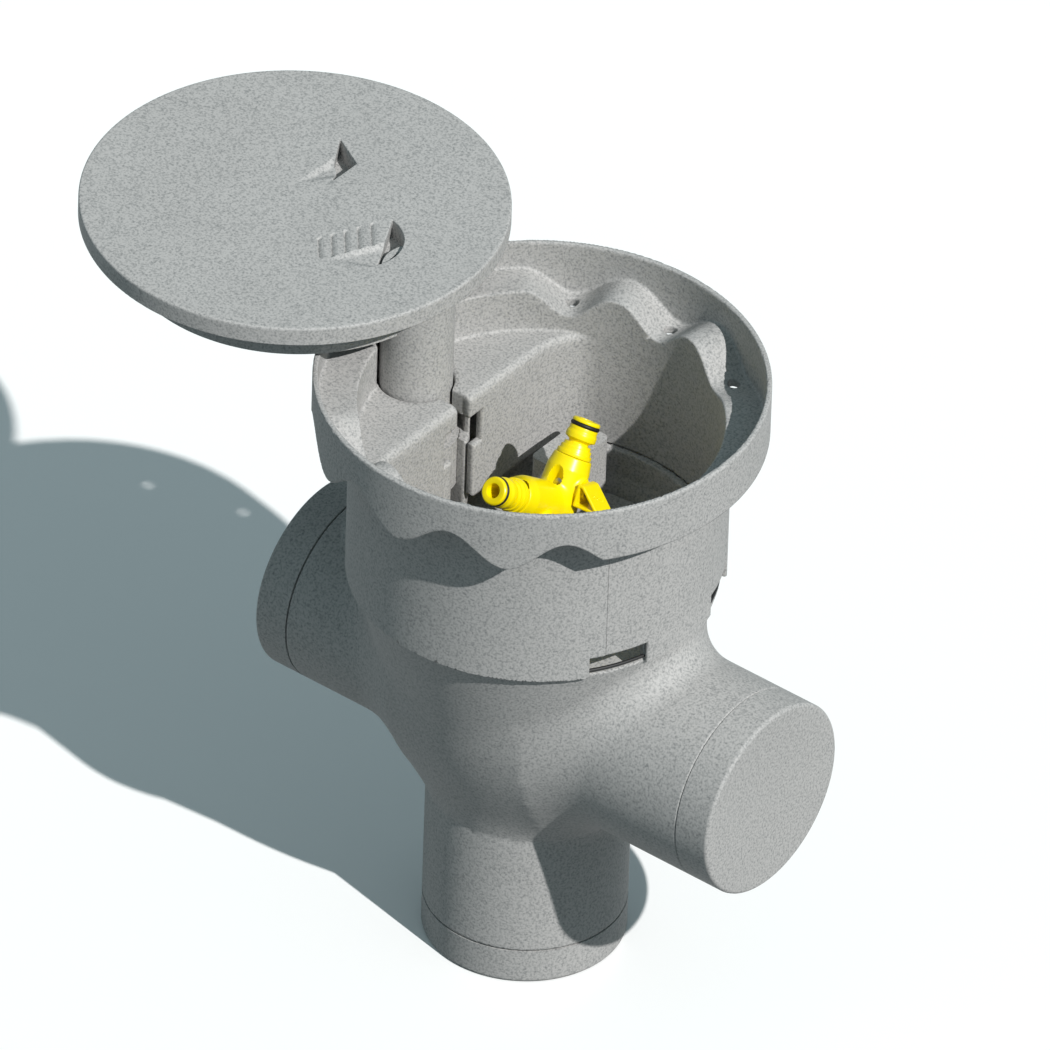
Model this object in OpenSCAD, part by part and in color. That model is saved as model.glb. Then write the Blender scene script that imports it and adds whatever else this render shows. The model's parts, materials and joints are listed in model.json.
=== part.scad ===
/* [Pipe stubs] */
// Outer diameter of the three stubs
pipe_od = 110; // [106:1:114]
// Wall of the stubs and of the base
pipe_wall = 4.5; // [3.5:0.5:5.5]
// Height of the through pipe's axis above the ground face
pipe_z = 163; // [158:1:165]
// Reach of the right stub from the bowl's axis, cap included
right_reach = 162; // [155:1:200]
// Reach of the left stub from the bowl's axis, cap included
left_reach = 145; // [143:1:200]
// Length of a blanking cap outside its stub
cap_len = 21; // [18:1:26]
// Length of a cap's plug inside its stub
cap_plug = 18; // [14:1:24]
// Thickness of a cap's end face
cap_face = 4; // [3:0.5:6]
// Wall of a cap's plug
plug_wall = 5.5; // [5:0.5:8]
// Rounding of a cap's outer edge
cap_round = 2; // [1:0.5:3]

/* [Base] */
// Height at which the vertical pipe turns into the cone
cone_z = 95; // [85:1:105]
// Height of the skirt's lower edge, where the cone ends
skirt_z = 237; // [234:1:240]
// Length of the base's neck inside the skirt
neck_lap = 14.7; // [13:0.1:18]
// Height of the lead-in chamfer inside the neck
neck_chamfer = 10.5; // [8:0.5:12]
// Radius of the concave flare where the through pipe leaves the cone
flare_r = 100; // [90:1:120]
// Where the flares start on the through pipe, from the bowl's axis
flare_x = 82; // [78:1:86]
// Extra radius of the stubs beside the bowl, where a pipe socket stops
stub_step = 0.7; // [0.6:0.1:1]
// Where that step ends on the right stub, from the bowl's axis
step_x_right = 102.5; // [102:0.5:106]
// Where it ends on the left stub, past the post's alcove
step_x_left = 119.5; // [119:0.5:122]
// Length of a flare along the pipe
flare_len = 37; // [34:1:38]
// Width of the ledge that carries the floor plate
ledge_w = 8; // [7:0.5:12]
// Thickness of that ledge
ledge_h = 5; // [4:0.5:8]

/* [Bowl] */
// Height of the rim above the skirt's lower edge
bowl_h = 125; // [122:1:130]
// Outer diameter of the rim
rim_od = 242; // [238:1:250]
// Wall of the rim
rim_wall = 3; // [2.5:0.5:4]
// Outer diameter of the skirt
skirt_od = 202; // [200:1:204]
// Wall of the skirt above the neck
skirt_wall = 4; // [3.5:0.5:4.5]
// Wall of the skirt where it laps the neck
lap_wall = 3; // [2.5:0.1:3.2]
// Number of waves round the gutter
waves = 12; // [12:12:12]
// Depth of the gutter's crests below the rim
crest_depth = 16.5; // [15:0.5:18]
// Height of a wave from trough to crest, on top
wave_h = 15; // [12:1:18]
// Thickness of the gutter at a crest
crest_t = 3.5; // [3:0.5:5]
// Thickness of the gutter at a trough
trough_t = 5.5; // [4:0.5:7]
// Half angle of each level stretch of the gutter, over the right stub and at the post
level_angle = 45; // [45:30:75]
// Depth of the rim's lower edge along that stretch
apron_depth = 32; // [28:1:35]
// Diameter of the gutter's drain holes
drain_d = 7; // [5:0.5:8]
// Half angle at which a notch in the skirt's edge starts, from the pipe's line
notch_from = 15.6; // [12:0.1:20]
// Width of a notch as an angle
notch_angle = 19.4; // [12:0.1:24]
// Height of a notch
notch_h = 13; // [8:1:14]

/* [Post guide] */
// Distance of the post's axis from the bowl's axis
post_x = 84.4; // [84:0.1:85]
// Outer diameter of the lid's post
post_d = 39.4; // [38:0.2:40]
// Wall of the post
post_wall = 3.7; // [3:0.1:5]
// Depth of the guide block's top below the rim
block_depth = 42; // [40:1:45]
// Distance of the guide block's front face from the bowl's axis
block_x = 51; // [48:0.5:52]
// Wall of the guide block
block_wall = 5; // [4.5:0.5:6]
// Length of the guide block's front face below the groove
block_leg = 46; // [40:1:50]
// Thickness of the lip above the groove
lip_h = 14; // [11:0.5:17]
// Height of the groove in which the lug turns
groove_h = 20; // [18:0.5:24]
// Radius of that groove
groove_r = 26; // [25.6:0.1:26.4]
// Wall of the sleeve round the groove
sleeve_wall = 3.5; // [3:0.5:4]
// How far the lid drops when it is closed
drop = 35; // [32:1:36]
// Width of the slot through which the lug drops
slot_w = 17.4; // [16:0.2:20]
// Width of the window in front of the groove
window_w = 30.8; // [26:0.2:34]
// Width of the gap in the lip
lip_gap_w = 10; // [6:0.5:12]
// Wall of the guide bush
bush_wall = 4; // [3:0.1:4.4]
// Height of the guide bush
bush_h = 30; // [24:1:36]
// Width of the lug on the post
lug_w = 14; // [10:0.5:15]
// Height of the lug
lug_h = 10; // [8:0.5:12]
// Reach of the lug from the post's axis
lug_reach = 25.7; // [25.2:0.1:25.8]
// Length of the post below the lug's lower face
post_tail = 20; // [16:1:24]
// Thickness of the post's foot plug outside the post
foot_t = 4; // [3:0.5:6]

/* [Lid] */
// Diameter of the lid
lid_d = 229; // [224:1:232]
// Thickness of the lid's cover shell
cover_h = 11; // [10:0.5:13]
// Thickness of the whole lid
lid_h = 15.8; // [15.8:0.1:16]
// Diameter of the lid's lower shell
base_d = 218; // [214:1:220]
// Wall of both lid shells
lid_wall = 3.2; // [2.8:0.1:4]
// Thickness of the lower shell's floor
lid_floor = 3.6; // [3.2:0.1:4]
// Diameter of the collar under the lower shell
lid_collar_d = 184; // [176:2:188]
// Wall of that collar
lid_collar_wall = 2.4; // [2:0.2:3]
// Height at which the swinging collar clears the rim
lid_collar_gap = 1; // [0.6:0.2:3]
// Depth of the grip pockets
grip_depth = 8; // [5:0.5:8.5]
// Width of the ribbed grip pocket
grip_w = 17; // [14:0.5:20]
// Number of ribs in that pocket
grip_ribs = 5; // [3:1:7]
// Number of screws that join the lid's shells
lid_screw_n = 6; // [4:2:6]
// Radius of the circle that those screws stand on
lid_screw_r = 96; // [95:1:99]

/* [Floor plate] */
// Distance of the plate's top below the skirt's lower edge
plate_drop = 11; // [10:0.5:13]
// Thickness of the plate
plate_t = 4; // [3:0.5:5]
// Number of drain holes in the plate
plate_holes = 10; // [6:2:12]
// Diameter of those drain holes
plate_hole_d = 9; // [6:0.5:12]
// Height of the support block on the plate
block_h = 49; // [40:1:52]
// Width of the support block across
support_w = 21.5; // [18:0.5:24]
// Length of the support block
support_l = 41; // [34:1:44]

/* [Coupling] */
// Distance of the coupling's upright from the bowl's axis
valve_x = 10.8; // [8:0.1:14]
// Height at which the branches meet, above the plate
valve_h = 57; // [54:1:60]
// Outer diameter of the coupling's upright
leg_d = 22; // [21:0.5:24]
// Diameter of the water way
way_d = 8; // [7:0.5:9]
// Diameter of the threaded inlet
inlet_d = 20.6; // [20:0.1:21]
// Largest diameter of a branch
branch_d = 23.6; // [22:0.2:24]
// Smallest diameter of a branch, at its nipple
branch_end_d = 20.6; // [19:0.2:21]
// Length of branch A from the meeting point to its tip
length_a = 48; // [46:1:56]
// Length of branch B from the meeting point to its tip
length_b = 60; // [56:1:66]
// Compass angle of branch A
turn_a = 95; // [85:1:100]
// Compass angle of branch B
turn_b = -94.2; // [-100:0.1:-85]
// Rise of branch A above level
rise_a = 52; // [46:1:56]
// Rise of branch B above level
rise_b = 36; // [34:1:44]
// Place of ball A along its branch
ball_at_a = 13; // [12:0.5:15]
// Place of ball B along its branch
ball_at_b = 20; // [18:0.5:24]
// Turn of lever B's spindle below level, round its branch
lever_roll_b = 35; // [30:1:45]
// Diameter of the shut-off balls
ball_d = 12.8; // [12:0.2:13]
// Diameter of a spindle
stem_d = 5.8; // [5:0.2:6]
// Distance of a lever from its branch's axis
lever_off = 12.8; // [12.6:0.1:14]
// Width of a lever
lever_w = 15.9; // [12:0.1:16]
// Angle at which lever A stands at rest
lever_rest_a = 13.4; // [5:0.1:20]
// Diameter of a nipple's collar
collar_d = 16.8; // [16:0.2:18]
// Diameter of a nipple's tip
tip_d = 15.4; // [15:0.1:16]
// Diameter of the supply pipe that the coupling takes
supply_d = 25; // [24:0.5:26]
// Depth to which the supply pipe enters
supply_depth = 24; // [20:1:30]

/* [Fits] */
// Gap between parts that turn or slide in each other
run_gap = 0.1; // [0.05:0.01:0.15]
// Gap between parts that are fitted together
fit_gap = 0.2; // [0.1:0.05:0.3]
// Gap between parts that move past each other
free_gap = 0.3; // [0.2:0.05:0.4]

/* [Hidden] */

$fn = 96;
GREY = [0.68, 0.69, 0.69];
YELLOW = [1, 0.85, 0.05];
BLACK = [0.08, 0.08, 0.08];
STEEL = [0.75, 0.75, 0.77];
BRASS = [0.8, 0.65, 0.35];
WHITE = [0.92, 0.92, 0.9];
eps = 0.01;

// Pipes and base
pipe_r = pipe_od / 2;
bore_r = pipe_r - pipe_wall;
rim_z = skirt_z + bowl_h;
rim_r = rim_od / 2;
rim_ir = rim_r - rim_wall;
skirt_r = skirt_od / 2;
skirt_ir = skirt_r - skirt_wall;
lap_r = skirt_r - lap_wall;
neck_r = lap_r - free_gap;
neck_z = skirt_z + neck_lap;
step_z = neck_z + free_gap;
cone_rise = (neck_r - pipe_r) / (skirt_z - cone_z);
plate_z = skirt_z - plate_drop;
ledge_z = plate_z - plate_t;
function cone_r(z) = pipe_r + (z - cone_z) * cone_rise;

// Gutter
crest_z = rim_z - crest_depth;
wave_a = wave_h / 2;
under_a = (wave_h + trough_t - crest_t) / 2;
drain_r = (skirt_r + rim_ir) / 2;
wave_steps = 12;
function is_level(a) = a < level_angle || a > 360 - level_angle;
function is_level_top(a) = is_level(a) || is_level((a + 180) % 360);
function top_wave(a) = is_level_top(a) ? crest_z : crest_z - wave_a - wave_a * cos(waves * a);
function free_under_wave(a) = crest_z - crest_t - under_a - under_a * cos(waves * a);
function under_wave(a) = is_level(a + 15) && is_level(a - 15) ? rim_z - apron_depth
    : is_level(a) ? max(free_under_wave(a), rim_z - apron_depth) : free_under_wave(a);

// Post guide
post_r = post_d / 2;
block_z = rim_z - block_depth;
groove_top = block_z - lip_h;
groove_z = groove_top - groove_h;
bush_r = post_r + run_gap + bush_wall;
bush_bore_r = bush_r + run_gap;
bush_top = groove_z - fit_gap;
bush_z = bush_top - bush_h;
lip_r = post_r + 0.9;
pocket_r = post_r + 2.3;
sleeve_r = groove_r + sleeve_wall;
post_z = groove_z - post_tail;
foot_z = post_z - foot_t;
guide_floor_z = foot_z - drop - 1;
sleeve_z = guide_floor_z - block_wall + 1;
block_bottom = groove_z - block_leg;
alcove_r = sleeve_r + fit_gap;
alcove_wall = 4;
lug_pin_r = 3;

// Lid
lid_r = lid_d / 2;
lid_top = rim_z - 0.5 + drop;
lid_under = lid_top - lid_h;
cover_z = lid_top - cover_h;
cover_in = lid_top - lid_wall;
base_r = base_d / 2;
lid_collar_r = lid_collar_d / 2;
lid_collar_z = rim_z + lid_collar_gap;
lid_collar_post_gap = 4;
lid_x = -2 * post_x;
spigot_r = post_r - post_wall - fit_gap / 2;
spigot_len = 21;
post_top = cover_in;
screw_r = 1.65;
screw_hole = screw_r + 0.05;

// Coupling
flange_t = 2;
flange_h = 6;
flange_af = 30;
hole_gap = 0.3;
vz = plate_z + valve_h;
leg_r = leg_d / 2;
way_r = way_d / 2;
inlet_r = inlet_d / 2;
inlet_z = plate_z - 30;
branch_r = branch_d / 2;
branch_er = branch_end_d / 2;
ball_r = ball_d / 2;
chamber_r = ball_r + 0.3;
seat_len = 2.5;
seat_in = ball_r * 0.766;
seat_out = seat_in + seat_len;
stem_r = stem_d / 2;
tower_r = stem_r + 3.1;
tower_end = lever_off - fit_gap;
stem_collar_r = stem_r + 1.2;
stem_shoulder = ball_r + 1.9;
seal_seat = 2;
nipple_len = 20.5;
tip_r = tip_d / 2;
collar_r = collar_d / 2;
hub_r = 5;
hub_h = 2.6;
nut_h = 8;
nut_af = 34;
supply_r = supply_d / 2;
coupling_r = supply_r + 4.5;
coupling_top = plate_z - plate_t - nut_h - 2;
coupling_neck = coupling_top - 16;
socket_top = coupling_neck - 6;
socket_z = socket_top - supply_depth;

// A solid ring round Z between two heights
module ring(ro, ri, z0, z1) {
    translate([0, 0, z0]) difference() {
        cylinder(r = ro, h = z1 - z0);
        translate([0, 0, -1]) cylinder(r = ri, h = z1 - z0 + 2);
    }
}

// A round ring of rubber round Z
module o_ring(major, minor, z) {
    translate([0, 0, z]) rotate_extrude() translate([major, 0]) circle(r = minor, $fn = 32);
}

// A hexagon bar round Z, by its width across flats
module hex_bar(af, h) {
    cylinder(r = af / sqrt(3), h = h, $fn = 6);
}

// A box with round upright edges, centred in X and Y
module round_box(w, l, r, h) {
    linear_extrude(h) union() {
        square([w - 2 * r, l], center = true);
        square([w, l - 2 * r], center = true);
        for (sx = [-1, 1], sy = [-1, 1]) translate([sx * (w / 2 - r), sy * (l / 2 - r)]) circle(r = r, $fn = 48);
    }
}

// A ring-shaped slab whose lower or upper face follows a wave
module wave_slab(ri, ro, flat_z, wave_on_top) {
    n = waves * wave_steps;
    function wz(i) = wave_on_top ? under_wave(i * 360 / n) : top_wave(i * 360 / n);
    pts = [for (i = [0:n - 1]) let (a = i * 360 / n, z = wz(i), lo = min(z, flat_z), hi = max(z, flat_z))
        each [[ri * cos(a), ri * sin(a), lo], [ro * cos(a), ro * sin(a), lo],
              [ro * cos(a), ro * sin(a), hi], [ri * cos(a), ri * sin(a), hi]]];
    tris = [for (i = [0:n - 1], k = [0:3]) let (j = (i + 1) % n, m = (k + 1) % 4)
        each [[4 * i + k, 4 * i + m, 4 * j + m], [4 * i + k, 4 * j + m, 4 * j + k]]];
    polyhedron(points = pts, faces = tris);
}

// Moves a child from the bowl's axis to the post's axis
module at_post() {
    translate([-post_x, 0, 0]) children();
}

// Turns a child from round Z to round X, at the through pipe's axis
module along_pipe() {
    translate([0, 0, pipe_z]) rotate([0, 90, 0]) children();
}

// One side of the through pipe, round Z, with its concave flare at the cone
module pipe_side(reach, step_x) {
    flare_end = flare_x - flare_len;
    rotate_extrude() {
        translate([0, flare_end]) square([pipe_r, reach - flare_end]);
        translate([0, flare_end]) square([pipe_r + stub_step, step_x - flare_end]);
        difference() {
            translate([0, flare_end]) square([pipe_r + flare_len / 4, flare_len]);
            translate([pipe_r + flare_r, flare_x]) circle(r = flare_r, $fn = 360);
        }
    }
}

module base_outside() {
    rotate_extrude() polygon([[0, cap_len], [pipe_r, cap_len], [pipe_r, cone_z], [neck_r, skirt_z],
                              [neck_r, neck_z], [0, neck_z]]);
    along_pipe() pipe_side(right_reach - cap_len, step_x_right);
    along_pipe() mirror([0, 0, 1]) pipe_side(left_reach - cap_len, step_x_left);
    at_post() translate([0, 0, sleeve_z - 8])
        cylinder(r = alcove_r + alcove_wall, h = skirt_z - free_gap - sleeve_z + 8);
}

module base_inside() {
    wall = pipe_wall + 0.2;
    ledge_under = ledge_z - ledge_h;
    ledge_under_r = cone_r(ledge_under) - wall;
    neck_edge = 0.7;
    rotate_extrude() polygon([[0, cap_len - 1], [bore_r, cap_len - 1], [bore_r, cone_z],
                              [ledge_under_r, ledge_under], [ledge_under_r - ledge_w, ledge_under],
                              [ledge_under_r - ledge_w, ledge_z], [cone_r(ledge_z) - wall, ledge_z],
                              [neck_r - wall, neck_z - neck_chamfer], [neck_r - neck_edge, neck_z],
                              [neck_r - neck_edge, neck_z + 1], [0, neck_z + 1]]);
    along_pipe() translate([0, 0, cap_len - left_reach - 1])
        cylinder(r = bore_r, h = left_reach + right_reach - 2 * cap_len + 2);
}

shell_seal_z = skirt_z + 2.4;
shell_seal_r = 1;
plate_screw_angles = [45, 135, 225, 315];
plate_screw_circle = cone_r(ledge_z) - pipe_wall - ledge_w / 2 - 0.6;

module lower_body() color(GREY) difference() {
    base_outside();
    base_inside();
    at_post() translate([0, 0, sleeve_z - free_gap]) cylinder(r = alcove_r, h = 60);
    ring(neck_r + 1, neck_r - 2 * shell_seal_r + fit_gap / 2, shell_seal_z - 1.2, shell_seal_z + 1.2);
    for (a = plate_screw_angles) rotate(a) translate([plate_screw_circle, 0, ledge_z - ledge_h - 1])
        cylinder(r = screw_hole, h = ledge_h + 2, $fn = 32);
}

// The neck's seal ring, open where the post's sleeve passes
module shell_seal() color(BLACK) difference() {
    o_ring(lap_r - shell_seal_r - 0.05, shell_seal_r, shell_seal_z);
    at_post() cylinder(r = alcove_r, h = rim_z);
}

// A blanking cap with its end face at z = 0 and its plug pointing up
plug_r = bore_r - fit_gap;
cap_seal_at = cap_len + cap_plug / 2;
cap_seal_r = 1.35;
module end_cap() {
    rotate_extrude() difference() {
        union() {
            translate([0, cap_round]) square([pipe_r, cap_len - free_gap - cap_round]);
            square([pipe_r - cap_round, cap_len - free_gap]);
            translate([pipe_r - cap_round, cap_round]) circle(r = cap_round, $fn = 48);
            square([plug_r, cap_len + cap_plug]);
        }
        translate([-cap_round - pipe_r, -1]) square([cap_round + pipe_r, cap_len + 4]);
        translate([-eps, cap_face]) square([plug_r - plug_wall, cap_len + cap_plug]);
        translate([bore_r - 2 * cap_seal_r - 0.1, cap_seal_at - 1.6]) square([cap_seal_r * 3, 3.2]);
    }
}

module cap_seal() o_ring(bore_r - cap_seal_r - 0.05, cap_seal_r, cap_seal_at);

module at_right() translate([right_reach, 0, pipe_z]) rotate([0, -90, 0]) children();
module at_left() translate([-left_reach, 0, pipe_z]) rotate([0, 90, 0]) children();
module end_cap_right() color(GREY) at_right() end_cap();
module end_cap_left() color(GREY) at_left() end_cap();
module end_cap_bottom() color(GREY) end_cap();
module cap_seal_right() color(BLACK) at_right() cap_seal();
module cap_seal_left() color(BLACK) at_left() cap_seal();
module cap_seal_bottom() color(BLACK) cap_seal();

// The space inside the bowl, without the guide block
module bowl_space() {
    difference() {
        translate([0, 0, skirt_z - 1]) cylinder(r = skirt_ir, h = bowl_h + 2);
        translate([0, 0, block_bottom]) intersection() {
            union() {
                translate([-block_x - block_wall, -rim_r, 0]) cube([block_wall, rim_od, block_z - block_bottom]);
                translate([-rim_r, -rim_r, block_z - block_bottom - block_wall])
                    cube([rim_r - block_x, rim_od, block_wall]);
            }
            cylinder(r = skirt_ir + 1, h = bowl_h);
        }
        at_post() translate([0, 0, sleeve_z]) cylinder(r = sleeve_r, h = block_z - sleeve_z);
    }
}

module guide_cuts() {
    at_post() {
        translate([0, 0, block_z - eps]) cylinder(r = pocket_r, h = bowl_h);
        translate([0, 0, groove_top - eps]) cylinder(r = lip_r, h = lip_h + 2 * eps);
        translate([0, 0, groove_z]) cylinder(r = groove_r, h = groove_h);
        translate([0, 0, bush_z]) cylinder(r = bush_bore_r, h = groove_z - bush_z + eps);
        translate([0, 0, guide_floor_z]) cylinder(r = post_r + 0.6, h = bush_z - guide_floor_z + eps);
    }
    slot_l = post_x - block_x + 1;
    translate([-post_x, -slot_w / 2, foot_z - drop + 2]) cube([slot_l, slot_w, groove_z - foot_z + drop]);
    translate([-post_x, -window_w / 2, groove_z]) cube([slot_l, window_w, groove_h]);
    translate([-post_x, -lip_gap_w / 2, groove_top - eps]) cube([slot_l, lip_gap_w, lip_h + 1]);
}

module upper_shell() color(GREY) difference() {
    union() {
        difference() {
            translate([0, 0, skirt_z]) cylinder(r = rim_r, h = bowl_h);
            difference() {
                wave_slab(skirt_r - 12, rim_r + 8, skirt_z - 5, true);
                translate([0, 0, skirt_z - 6]) cylinder(r = skirt_r, h = bowl_h);
            }
        }
        at_post() translate([0, 0, sleeve_z]) cylinder(r = sleeve_r, h = crest_z + 2 - sleeve_z);
    }
    bowl_space();
    intersection() {
        wave_slab(skirt_r - 12, rim_r + 8, rim_z + 5, false);
        cylinder(r = rim_ir, h = rim_z + 5);
    }
    difference() {
        ring(lap_r, neck_r - pipe_wall - 1, skirt_z - 1, step_z);
        at_post() cylinder(r = sleeve_r, h = rim_z);
    }
    guide_cuts();
    rotate(15 - level_angle) rotate_extrude(angle = 2 * level_angle - 30)
        translate([skirt_r, skirt_z]) square([rim_ir - skirt_r, crest_z - crest_t - skirt_z]);
    for (i = [0:waves - 1]) let (a = i * 360 / waves) if (!is_level_top(a)) rotate(a)
        translate([drain_r, 0, crest_z - 60]) cylinder(r = drain_d / 2, h = 70, $fn = 32);
    for (s = [0, 180], m = [0, 1]) rotate(s) mirror([0, m, 0]) rotate(notch_from)
        rotate_extrude(angle = notch_angle) translate([skirt_ir - 3, skirt_z - 1]) square([10, notch_h + 1]);
}

// Support block, floor plate and its screws
support_x = -21.2;
support_y = 53.5;
module floor_plate() color(GREY) difference() {
    union() {
        translate([0, 0, ledge_z]) cylinder(r = cone_r(ledge_z) - pipe_wall - 0.6, h = plate_t);
        translate([support_x, support_y, plate_z - eps]) round_box(support_w, support_l, 4, block_h);
    }
    translate([support_x, support_y, ledge_z - 1]) round_box(support_w - 6, support_l - 6, 2, plate_t + block_h - 3);
    at_post() translate([0, 0, ledge_z - 1]) cylinder(r = sleeve_r + 1, h = plate_t + 2);
    translate([valve_x, 0, ledge_z - 1]) cylinder(r = inlet_r + hole_gap, h = plate_t + 2);
    for (i = [0:plate_holes - 1]) let (a = -120 + i * 240 / (plate_holes - 1))
        if (abs(a - 105) > 30) rotate(a) translate([62, 0, ledge_z - 1])
            cylinder(r = plate_hole_d / 2, h = plate_t + 2, $fn = 32);
    for (a = plate_screw_angles) rotate(a) translate([plate_screw_circle, 0, ledge_z - 1])
        cylinder(r = screw_r + fit_gap, h = plate_t + 2, $fn = 32);
}

// A pan-head screw standing on z = 0 with its shank below
module pan_screw(shank, head_r, head_h) {
    difference() {
        union() {
            cylinder(r = head_r, h = head_h, $fn = 48);
            translate([0, 0, -shank]) cylinder(r = screw_r, h = shank + eps, $fn = 32);
        }
        translate([0, 0, head_h * 0.45]) cylinder(r = head_r * 0.45, h = head_h, $fn = 6);
    }
}

module plate_screws() color(STEEL) for (a = plate_screw_angles) rotate(a)
    translate([plate_screw_circle, 0, plate_z]) pan_screw(plate_t + ledge_h - 0.5, 3, 2.2);

// The frame of a branch: Z runs from the meeting point towards the tip
module in_branch(turn, rise) {
    translate([valve_x, 0, vz]) rotate([0, 90 - rise, turn]) children();
}
module in_a() in_branch(turn_a, rise_a) children();
module in_b() in_branch(turn_b, rise_b) rotate(-lever_roll_b) children();
// The frame of a spindle: X towards the tip, Y outwards along the spindle
module spindle_a() in_a() translate([0, 0, ball_at_a]) rotate(a = 180, v = [1, 0, 1]) children();
module spindle_b() in_b() translate([0, 0, ball_at_b]) rotate([0, -90, 0]) children();
module outwards() rotate([-90, 0, 0]) children();

module branch_outside(len) {
    end = len - nipple_len;
    cylinder(r = branch_r, h = end - 7);
    translate([0, 0, end - 7 - eps]) cylinder(r1 = branch_r, r2 = branch_er, h = 7 + eps);
}

module branch_inside(len, ball_at) {
    cylinder(r = way_r, h = len);
    translate([0, 0, ball_at - seat_out]) cylinder(r = chamber_r, h = len - ball_at + seat_out);
}

module stem_tower() outwards() cylinder(r = tower_r, h = tower_end);

module stem_bore() outwards() {
    translate([0, 0, ball_r - 2]) cylinder(r = stem_collar_r + 0.1, h = stem_shoulder - ball_r + 2);
    cylinder(r = stem_r + run_gap, h = tower_end + 1);
    translate([0, 0, tower_end - seal_seat]) cylinder(r = stem_r + 1.3, h = seal_seat + 1);
}

module valve_body() color(YELLOW) difference() {
    union() {
        translate([valve_x, 0, inlet_z]) cylinder(r = inlet_r, h = plate_z - inlet_z + flange_t + 1);
        translate([valve_x, 0, plate_z + flange_t]) hex_bar(flange_af, flange_h);
        translate([valve_x, 0, plate_z + flange_t]) cylinder(r = leg_r, h = valve_h - flange_t);
        translate([valve_x, 0, vz]) sphere(r = branch_r + 0.25);
        in_a() branch_outside(length_a);
        in_b() branch_outside(length_b);
        spindle_a() stem_tower();
        spindle_b() stem_tower();
    }
    translate([valve_x, 0, inlet_z - 1]) cylinder(r = way_r, h = vz - inlet_z + 1);
    translate([valve_x, 0, vz]) sphere(r = way_r + 1);
    in_a() branch_inside(length_a, ball_at_a);
    in_b() branch_inside(length_b, ball_at_b);
    spindle_a() stem_bore();
    spindle_b() stem_bore();
}

module flange_gasket() color(BLACK) translate([valve_x, 0, 0]) ring(flange_af / 2 + 1, inlet_r + fit_gap, plate_z, plate_z + flange_t);

module lock_nut() color(YELLOW) translate([valve_x, 0, ledge_z - nut_h]) difference() {
    hex_bar(nut_af, nut_h);
    translate([0, 0, -1]) cylinder(r = inlet_r + 0.05, h = nut_h + 2);
}

// Nipple with its tip at z = len, its plug reaching back to the outer seat
o_ring_at = 3.2;
o_ring_r = 1.1;
module nipple(len, ball_at) {
    foot = len - ball_at - seat_out;
    translate([0, 0, len]) mirror([0, 0, 1]) rotate_extrude() polygon([
        [way_r, 0], [tip_r - 0.8, 0], [tip_r, 0.8],
        [tip_r, o_ring_at - 1.15], [tip_r - 1.9, o_ring_at - 1.15],
        [tip_r - 1.9, o_ring_at + 1.15], [tip_r, o_ring_at + 1.15],
        [tip_r, 6.4], [collar_r, 8], [collar_r, 10.7], [tip_r - 2.2, 12.3], [tip_r - 2.2, 13.5],
        [tip_r - 0.4, 13.5], [tip_r - 0.1, 15.5], [tip_r + 0.7, 15.5], [tip_r + 0.9, 18],
        [tip_r + 1.7, 18], [tip_r + 1.9, nipple_len - fit_gap],
        [chamber_r - fit_gap / 2, nipple_len - fit_gap], [chamber_r - fit_gap / 2, foot], [way_r, foot]]);
}
module nipple_o_ring(len) o_ring(tip_r - 1.85 + o_ring_r, o_ring_r, len - o_ring_at);

module ball_seat() rotate([0, 90, 0]) difference() {
    ring(chamber_r - 0.05, way_r, seat_in, seat_out);
    sphere(r = ball_r + fit_gap);
}

module seats() {
    ball_seat();
    mirror([1, 0, 0]) ball_seat();
}

tang_t = 2.4;
tang_w = 5;
module ball() difference() {
    rotate([0, 90, 0]) difference() {
        sphere(r = ball_r);
        translate([0, 0, -ball_r - 1]) cylinder(r = way_r - 0.2, h = 2 * ball_r + 2);
    }
    translate([-ball_r, ball_r - 1.8, -tang_t / 2 - run_gap]) cube([2 * ball_r, 4, tang_t + 2 * run_gap]);
}

stem_top = lever_off + hub_h;
module stem() difference() {
    union() {
        translate([-tang_w / 2, ball_r - 1.7, -tang_t / 2]) cube([tang_w, 2.6, tang_t]);
        outwards() translate([0, 0, ball_r + 0.6]) cylinder(r = stem_collar_r, h = stem_shoulder - ball_r - 0.7);
        outwards() translate([0, 0, ball_r + 0.6]) cylinder(r = stem_r, h = stem_top - ball_r - 0.6);
    }
    outwards() translate([0, 0, stem_top - 6]) cylinder(r = 1.3, h = 7, $fn = 32);
}

module stem_seal() outwards() o_ring(stem_r + 0.65, 0.6, tower_end - seal_seat / 2);

// Lever: a hub on the spindle and a hollow wedge
wedge_back = 8;
wedge_front = 4.5;
wedge_low = 3.5;
wedge_high = 15.4;
wedge_wall = 1.6;
module lever() difference() {
    union() {
        translate([0, 0, -lever_w / 2]) linear_extrude(lever_w) difference() {
            polygon([[wedge_front, lever_off], [wedge_front, lever_off + wedge_low],
                     [-wedge_back + 1.5, lever_off + wedge_high], [-wedge_back, lever_off + wedge_high],
                     [-wedge_back, lever_off]]);
            polygon([[wedge_front - wedge_wall, lever_off + wedge_wall],
                     [wedge_front - wedge_wall, lever_off + wedge_low - 0.5],
                     [-wedge_back + wedge_wall, lever_off + wedge_high - 2 * wedge_wall],
                     [-wedge_back + wedge_wall, lever_off + wedge_wall]]);
        }
        translate([0, lever_off, 0]) outwards() cylinder(r = hub_r - 0.6, h = hub_h);
    }
    translate([0, lever_off - 1, 0]) outwards() cylinder(r = stem_r + 0.05, h = hub_h + 1.05);
}

module lever_screw() translate([0, stem_top + 0.05, 0]) outwards() difference() {
    union() {
        cylinder(r = 2, h = 1, $fn = 48);
        translate([0, 0, -5]) cylinder(r = 1.25, h = 5 + eps, $fn = 32);
    }
    translate([0, 0, 0.4]) cylinder(r = 1, h = 2, $fn = 6);
}

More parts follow.
